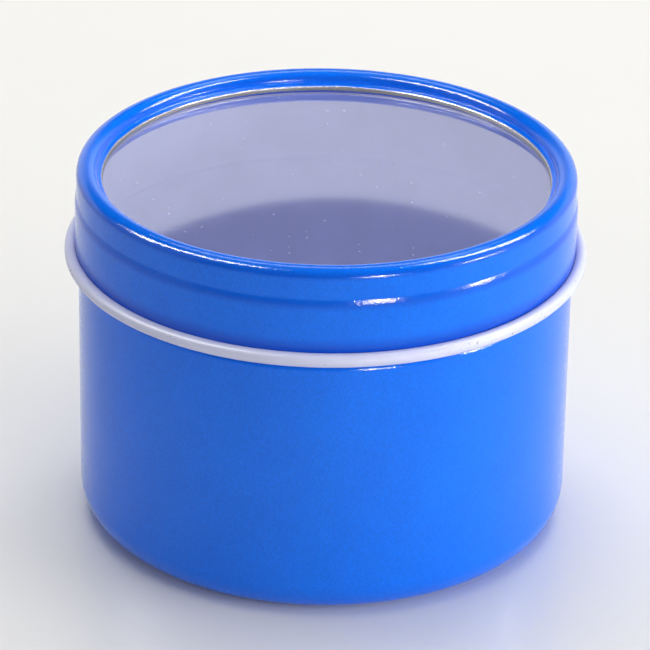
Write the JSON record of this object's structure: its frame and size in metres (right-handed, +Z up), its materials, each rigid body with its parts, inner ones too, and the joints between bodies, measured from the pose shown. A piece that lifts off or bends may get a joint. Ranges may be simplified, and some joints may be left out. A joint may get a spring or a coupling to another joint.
{
  "type": "window lid tin",
  "caption": "round drawn tin with a rounded foot and a slip-over lid, whose rolled lower edge shows white and whose top holds a clear window to see the contents",
  "frame": {"origin": "on the tin's axis, in the plane that its base ring stands on", "axes": "+Z up along the tin's axis, -Y towards the viewer of the picture, +X to that viewer's right"},
  "size_m": [0.08, 0.08, 0.058],
  "materials": {
    "blue_lacquer": "satin-gloss royal blue lacquer on tinplate with a fine orange peel; the inside and the lid's rolled edge are white lacquer",
    "clear_window": "clear gloss plastic sheet"
  },
  "bodies": {
    "tin": {"tin_body": "blue_lacquer"},
    "lid": {"lid_shell": "blue_lacquer", "window_pane": "clear_window"}
  },
  "joints": [
    {"name": "lid_lift", "type": "slide", "parent": "tin", "child": "lid", "axis": [0, 0, 1], "range_m": [0, 0.04]}
  ]
}
